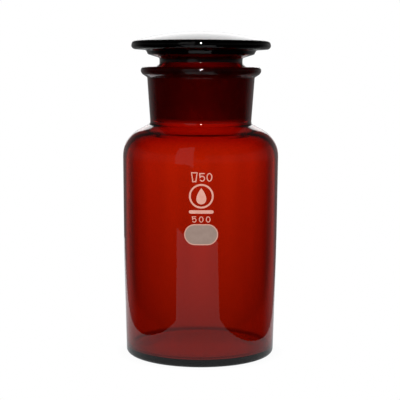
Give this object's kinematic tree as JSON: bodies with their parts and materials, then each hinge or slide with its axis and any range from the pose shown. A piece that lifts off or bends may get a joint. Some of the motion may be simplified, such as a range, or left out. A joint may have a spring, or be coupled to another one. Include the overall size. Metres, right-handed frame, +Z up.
{
  "type": "reagent bottle",
  "caption": "Wide-mouth amber glass reagent bottle with a ground-in, domed disc stopper and white enamel marks.",
  "frame": {"origin": "on the bottle's axis, in the plane of the ring that it stands on", "axes": "+Z up along the axis of the bottle and stopper, -Y towards the enamel marks, +X to the right seen from the marks' side"},
  "size_m": [0.083, 0.0831, 0.1725],
  "materials": {
    "amber_glass": "polished, dark red-brown amber all through, matt where the joint is ground",
    "white_enamel": "fired enamel, matt white"
  },
  "bodies": {
    "bottle": {"bottle": "amber_glass", "taper_sign": "white_enamel", "taper_digit_1": "white_enamel", "taper_digit_2": "white_enamel", "emblem_ring": "white_enamel", "emblem_droplet": "white_enamel", "emblem_bar": "white_enamel", "capacity_digit_1": "white_enamel", "capacity_digit_2": "white_enamel", "capacity_digit_3": "white_enamel", "writing_patch": "white_enamel"},
    "stopper": {"stopper": "amber_glass"}
  },
  "joints": [
    {"name": "stopper_lift", "type": "slide", "parent": "bottle", "child": "stopper", "axis": [0, 0, 1], "range_m": [0, 0.06]}
  ]
}
